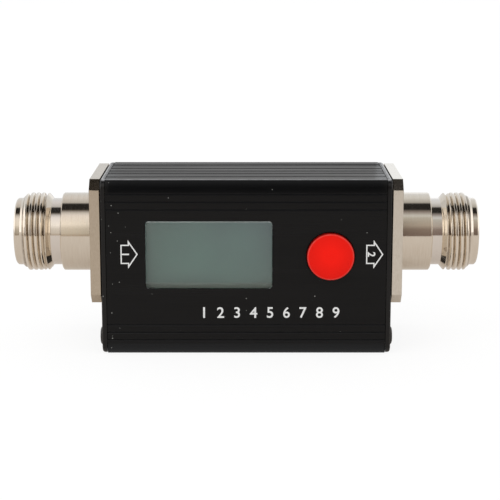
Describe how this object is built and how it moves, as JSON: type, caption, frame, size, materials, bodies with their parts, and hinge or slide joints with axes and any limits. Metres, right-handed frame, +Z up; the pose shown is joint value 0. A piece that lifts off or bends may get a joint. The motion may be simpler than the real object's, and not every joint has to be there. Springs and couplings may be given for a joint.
{
  "type": "inline radio power and swr meter",
  "caption": "Pocket inline meter for radio power and standing wave ratio: ribbed aluminium case, display window, push button and a threaded coaxial jack on a square flange at each end.",
  "frame": {"origin": "on the surface the meter stands on, under the middle of its box (the button's rise in front is counted)", "axes": "+X along the jacks towards the right-hand jack as seen from the front, -Y out of the front face with the display, +Z up"},
  "size_m": [0.0936, 0.0266, 0.0352],
  "materials": {
    "black_anodised_shell": "black anodised, satin, extruded",
    "black_anodised_plate": "black anodised, satin, milled",
    "nickel_jack": "nickel plate on turned brass, semi-gloss",
    "nickel_screw": "nickel-plated steel",
    "black_screw": "black oxide",
    "white_ptfe": "turned, waxy white",
    "gold_contact": "gold plate",
    "clear_window": "clear acrylic, polished",
    "display_glass": "grey-green display with its light off",
    "white_diffuser": "moulded, matt",
    "tinned_steel": "tin plate",
    "red_plastic": "moulded, satin red",
    "black_plastic": "moulded, matt",
    "green_board": "green solder mask on glass fibre board",
    "copper_strip": "bright copper",
    "silver_pouch": "laminated foil, dull",
    "dark_foam": "closed-cell foam",
    "red_wire": "soft plastic insulation",
    "black_wire": "soft plastic insulation"
  },
  "bodies": {
    "case": {"front_shell": "black_anodised_shell", "rear_shell": "black_anodised_shell", "right_end_plate": "black_anodised_plate", "left_end_plate": "black_anodised_plate", "right_jack_body": "nickel_jack", "left_jack_body": "nickel_jack", "right_jack_insulator": "white_ptfe", "left_jack_insulator": "white_ptfe", "right_jack_contact": "gold_contact", "left_jack_contact": "gold_contact", "right_flange_screw_upper_1": "nickel_screw", "right_flange_screw_upper_2": "nickel_screw", "right_flange_screw_lower_1": "nickel_screw", "right_flange_screw_lower_2": "nickel_screw", "left_flange_screw_upper_1": "nickel_screw", "left_flange_screw_upper_2": "nickel_screw", "left_flange_screw_lower_1": "nickel_screw", "left_flange_screw_lower_2": "nickel_screw", "right_plate_screw_1": "black_screw", "right_plate_screw_2": "black_screw", "left_plate_screw_1": "black_screw", "left_plate_screw_2": "black_screw", "display_window": "clear_window", "display_frame": "tinned_steel", "display_glass": "display_glass", "display_backlight": "white_diffuser", "switch_body": "black_plastic", "main_board": "green_board", "coupler_board": "green_board", "through_line": "copper_strip", "forward_sense_line": "copper_strip", "reflected_sense_line": "copper_strip", "shield_can": "tinned_steel", "board_header": "black_plastic", "processor": "black_plastic", "charge_controller": "black_plastic", "charge_socket": "tinned_steel", "battery": "silver_pouch", "battery_pad": "dark_foam", "battery_lead_positive": "red_wire", "battery_lead_negative": "black_wire"},
    "button": {"button_cap": "red_plastic", "switch_plunger": "black_plastic"}
  },
  "joints": [
    {"name": "button_press", "type": "slide", "parent": "case", "child": "button", "axis": [0, 1, 0], "range_m": [0, 0.0004], "stiffness_N_per_m": 2500, "springref_m": -0.0002}
  ]
}
